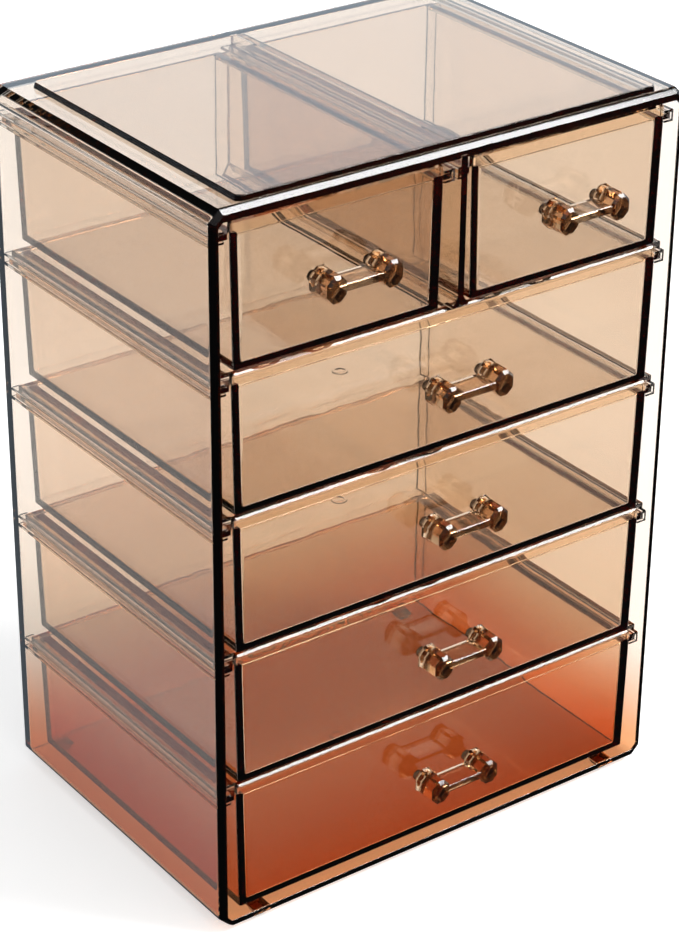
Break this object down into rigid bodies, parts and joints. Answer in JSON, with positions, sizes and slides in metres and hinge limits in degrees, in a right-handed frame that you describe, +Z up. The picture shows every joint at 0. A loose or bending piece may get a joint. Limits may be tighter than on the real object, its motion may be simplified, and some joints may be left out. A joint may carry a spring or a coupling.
{
  "type": "makeup organizer drawers",
  "caption": "Clear tinted plastic tabletop cabinet with side-by-side small drawers above wide pull-out drawers, each with a bridge handle.",
  "frame": {"origin": "centre of the overall box at the level the feet stand on", "axes": "+Z up, drawers pull out towards -Y, +X to the right seen from the front"},
  "size_m": [0.24, 0.1834, 0.3394],
  "materials": {
    "case_plastic": "clear amber-tinted moulded plastic, polished",
    "shelf_plastic": "clear amber-tinted moulded plastic, polished",
    "drawer_plastic": "clear amber-tinted moulded plastic, polished",
    "handle_plastic": "clear copper-tinted moulded plastic with facets",
    "foot_plastic": "tinted moulded plastic"
  },
  "bodies": {
    "cabinet": {"case_shell": "case_plastic", "shelf_1": "shelf_plastic", "shelf_2": "shelf_plastic", "shelf_3": "shelf_plastic", "shelf_4": "shelf_plastic", "divider": "shelf_plastic", "foot_front_left": "foot_plastic", "foot_front_right": "foot_plastic", "foot_rear_left": "foot_plastic", "foot_rear_right": "foot_plastic"},
    "wide_drawer_1": {"wide_drawer_1_tray": "drawer_plastic", "wide_drawer_1_handle": "handle_plastic"},
    "wide_drawer_2": {"wide_drawer_2_tray": "drawer_plastic", "wide_drawer_2_handle": "handle_plastic"},
    "wide_drawer_3": {"wide_drawer_3_tray": "drawer_plastic", "wide_drawer_3_handle": "handle_plastic"},
    "wide_drawer_4": {"wide_drawer_4_tray": "drawer_plastic", "wide_drawer_4_handle": "handle_plastic"},
    "small_drawer_left": {"small_drawer_left_tray": "drawer_plastic", "small_drawer_left_handle": "handle_plastic"},
    "small_drawer_right": {"small_drawer_right_tray": "drawer_plastic", "small_drawer_right_handle": "handle_plastic"}
  },
  "joints": [
    {"name": "wide_drawer_1_slide", "type": "slide", "parent": "cabinet", "child": "wide_drawer_1", "axis": [0, -1, 0], "range_m": [0, 0.13]},
    {"name": "wide_drawer_2_slide", "type": "slide", "parent": "cabinet", "child": "wide_drawer_2", "axis": [0, -1, 0], "range_m": [0, 0.13]},
    {"name": "wide_drawer_3_slide", "type": "slide", "parent": "cabinet", "child": "wide_drawer_3", "axis": [0, -1, 0], "range_m": [0, 0.13]},
    {"name": "wide_drawer_4_slide", "type": "slide", "parent": "cabinet", "child": "wide_drawer_4", "axis": [0, -1, 0], "range_m": [0, 0.13]},
    {"name": "small_drawer_left_slide", "type": "slide", "parent": "cabinet", "child": "small_drawer_left", "axis": [0, -1, 0], "range_m": [0, 0.13]},
    {"name": "small_drawer_right_slide", "type": "slide", "parent": "cabinet", "child": "small_drawer_right", "axis": [0, -1, 0], "range_m": [0, 0.13]}
  ]
}
